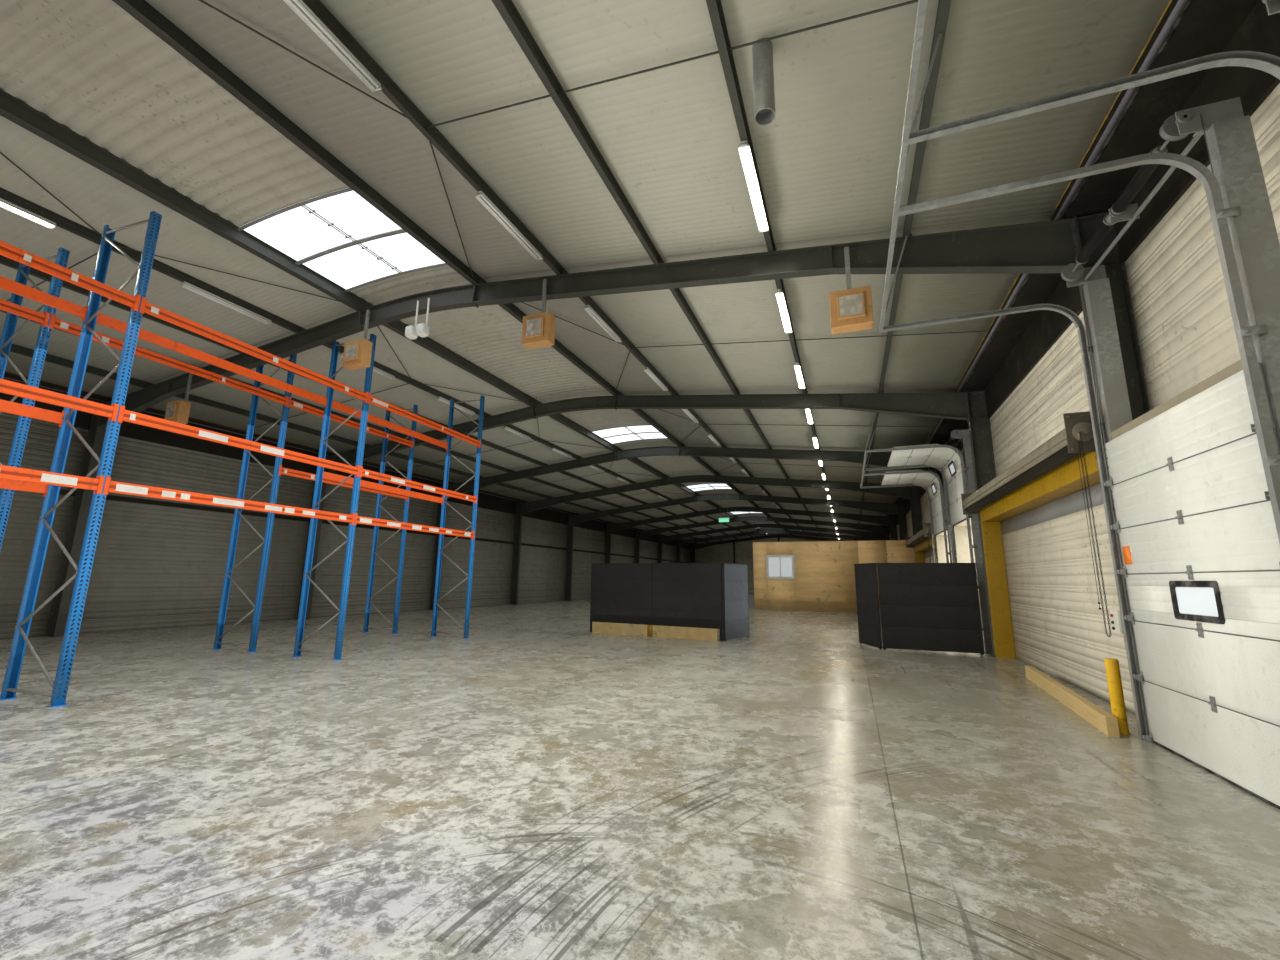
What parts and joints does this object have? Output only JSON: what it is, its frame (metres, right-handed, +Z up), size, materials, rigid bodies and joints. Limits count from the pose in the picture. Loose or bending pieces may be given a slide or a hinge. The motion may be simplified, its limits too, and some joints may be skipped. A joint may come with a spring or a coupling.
{
  "type": "factory hall",
  "caption": "Long steel-framed factory hall with a curved roof crown, sectional dock doors, roller shutter boxes, pallet racks and a boarded room, modelled at half size.",
  "frame": {"origin": "middle of the floor slab's underside, under the ridge line", "axes": "+Z up, +Y along the ridge towards the gable beyond the boarded room, +X across the hall towards the wall with the doors"},
  "size_m": [10.65, 34.54, 3.6416],
  "materials": {
    "concrete": "worn power-floated concrete",
    "dark_painted_steel": "matt dark grey paint",
    "roof_panel": "off-white coated sheet",
    "rooflight_sheet": "translucent ribbed sheet",
    "greyed_cladding": "grey-green coated sheet",
    "cream_cladding": "cream coated sheet",
    "white_coated_steel": "white coated sheet",
    "galvanised_steel": "galvanised",
    "black_parts": "black paint",
    "black_plastic": "moulded",
    "clear_glass": "clear",
    "yellow_paint": "scuffed safety yellow",
    "orange_paint": "faded orange paint",
    "timber": "bare timber and plywood",
    "blue_paint": "scuffed blue paint",
    "rack_orange": "bright orange paint",
    "screen_cloth": "dull dark cloth",
    "lit_diffuser": "opal, lit",
    "sign_face": "opal, blank"
  },
  "bodies": {
    "root": {"floor_slab": "concrete", "right_columns": "dark_painted_steel", "left_columns": "dark_painted_steel", "right_rafters": "dark_painted_steel", "left_rafters": "dark_painted_steel", "crown_arches": "dark_painted_steel", "gable_posts": "dark_painted_steel", "right_purlins": "dark_painted_steel", "left_purlins": "dark_painted_steel", "crown_purlins": "dark_painted_steel", "sag_rods": "dark_painted_steel", "right_roof_panels": "roof_panel", "left_roof_panels": "roof_panel", "crown_sheets": "roof_panel", "rooflights": "rooflight_sheet", "eaves_gutters": "dark_painted_steel", "wall_rails": "dark_painted_steel", "left_wall": "greyed_cladding", "right_wall": "cream_cladding", "door_bay_walls": "cream_cladding", "near_gable_wall": "cream_cladding", "far_gable_wall": "cream_cladding", "verge_trims": "dark_painted_steel", "downpipes": "galvanised_steel", "closed_dock_doors": "white_coated_steel", "raised_dock_doors": "white_coated_steel", "door_window_frames": "black_plastic", "window_panes": "clear_glass", "dock_door_posts": "galvanised_steel", "dock_door_linings": "galvanised_steel", "dock_door_tracks": "galvanised_steel", "track_hangers": "galvanised_steel", "spring_shafts": "black_parts", "shutter_boxes": "dark_painted_steel", "shutter_frames": "yellow_paint", "infill_panels": "white_coated_steel", "chain_hoists": "dark_painted_steel", "door_control_box": "cream_cladding", "guard_post": "yellow_paint", "timber_kerbs": "timber", "room_boards": "timber", "room_studs": "timber", "room_window_frame": "white_coated_steel", "rack_frames": "blue_paint", "rack_beams": "rack_orange", "dark_screens": "screen_cloth", "lit_strip_lights": "lit_diffuser", "unlit_strip_lights": "white_coated_steel", "heaters": "orange_paint", "ceiling_hangers": "galvanised_steel", "twin_lamp": "white_coated_steel", "flue": "galvanised_steel", "exit_sign": "sign_face"}
  },
  "joints": []
}
